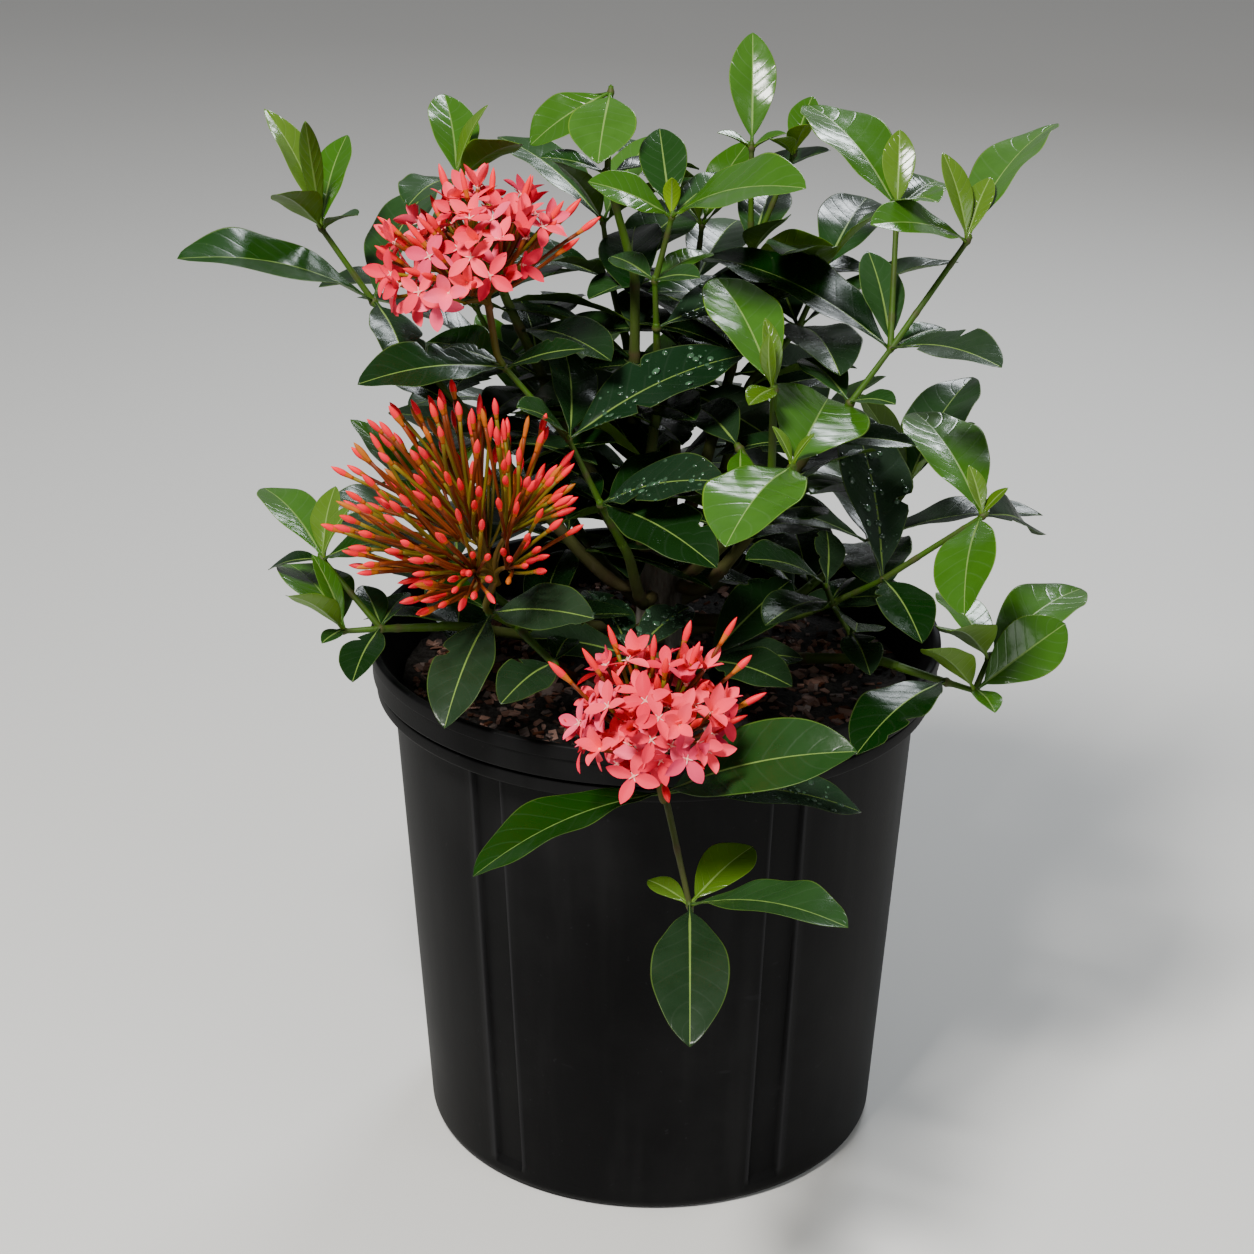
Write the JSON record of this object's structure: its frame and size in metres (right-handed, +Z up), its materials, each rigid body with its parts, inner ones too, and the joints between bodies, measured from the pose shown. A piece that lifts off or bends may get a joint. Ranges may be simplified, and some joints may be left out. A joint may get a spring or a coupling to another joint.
{
  "type": "potted ixora",
  "caption": "Flowering evergreen shrub with glossy opposite leaves, coral-pink flower heads and a head of closed buds, in a round black nursery pot.",
  "frame": {"origin": "middle of the pot's flat underside", "axes": "+Z up, -Y towards the front, +X to the right seen from the front"},
  "size_m": [0.4101, 0.4347, 0.5304],
  "materials": {
    "pot": "satin black, lightly scuffed",
    "soil": "rough, damp",
    "bark": "rough",
    "stem": "matte",
    "leaf": "glossy above, matte below",
    "flower": "soft",
    "buds": "soft"
  },
  "bodies": {
    "root": {"pot": "pot", "soil": "soil", "trunk": "bark", "bough_back_high_1": "stem", "bough_back_high_2": "stem", "bough_back_high_3": "stem", "bough_back_high_4": "stem", "bough_back_low_1": "stem", "bough_back_low_2": "stem", "bough_back_low_3": "stem", "bough_back_low_4": "stem", "bough_back_low_5": "stem", "bough_front": "stem", "bough_left": "stem", "bough_left_front": "stem", "bough_left_top": "stem", "bough_low_middle": "stem", "bough_low_right": "stem", "bough_mid_right": "stem", "bough_middle": "stem", "bough_right": "stem", "bough_right_low": "stem", "bough_right_top": "stem", "bough_top_back": "stem", "bough_top_left": "stem", "bough_top_middle": "stem", "bough_top_right": "stem", "foliage_back_high_1": "leaf", "foliage_back_high_2": "leaf", "foliage_back_high_3": "leaf", "foliage_back_high_4": "leaf", "foliage_back_low_1": "leaf", "foliage_back_low_2": "leaf", "foliage_back_low_3": "leaf", "foliage_back_low_4": "leaf", "foliage_back_low_5": "leaf", "foliage_front": "leaf", "foliage_left": "leaf", "foliage_left_front": "leaf", "foliage_left_top": "leaf", "foliage_low_middle": "leaf", "foliage_low_right": "leaf", "foliage_mid_right": "leaf", "foliage_middle": "leaf", "foliage_right": "leaf", "foliage_right_low": "leaf", "foliage_right_top": "leaf", "foliage_top_back": "leaf", "foliage_top_left": "leaf", "foliage_top_middle": "leaf", "foliage_top_right": "leaf", "flower_head_buds": "buds", "flower_head_front": "flower", "flower_head_left": "flower"}
  },
  "joints": []
}
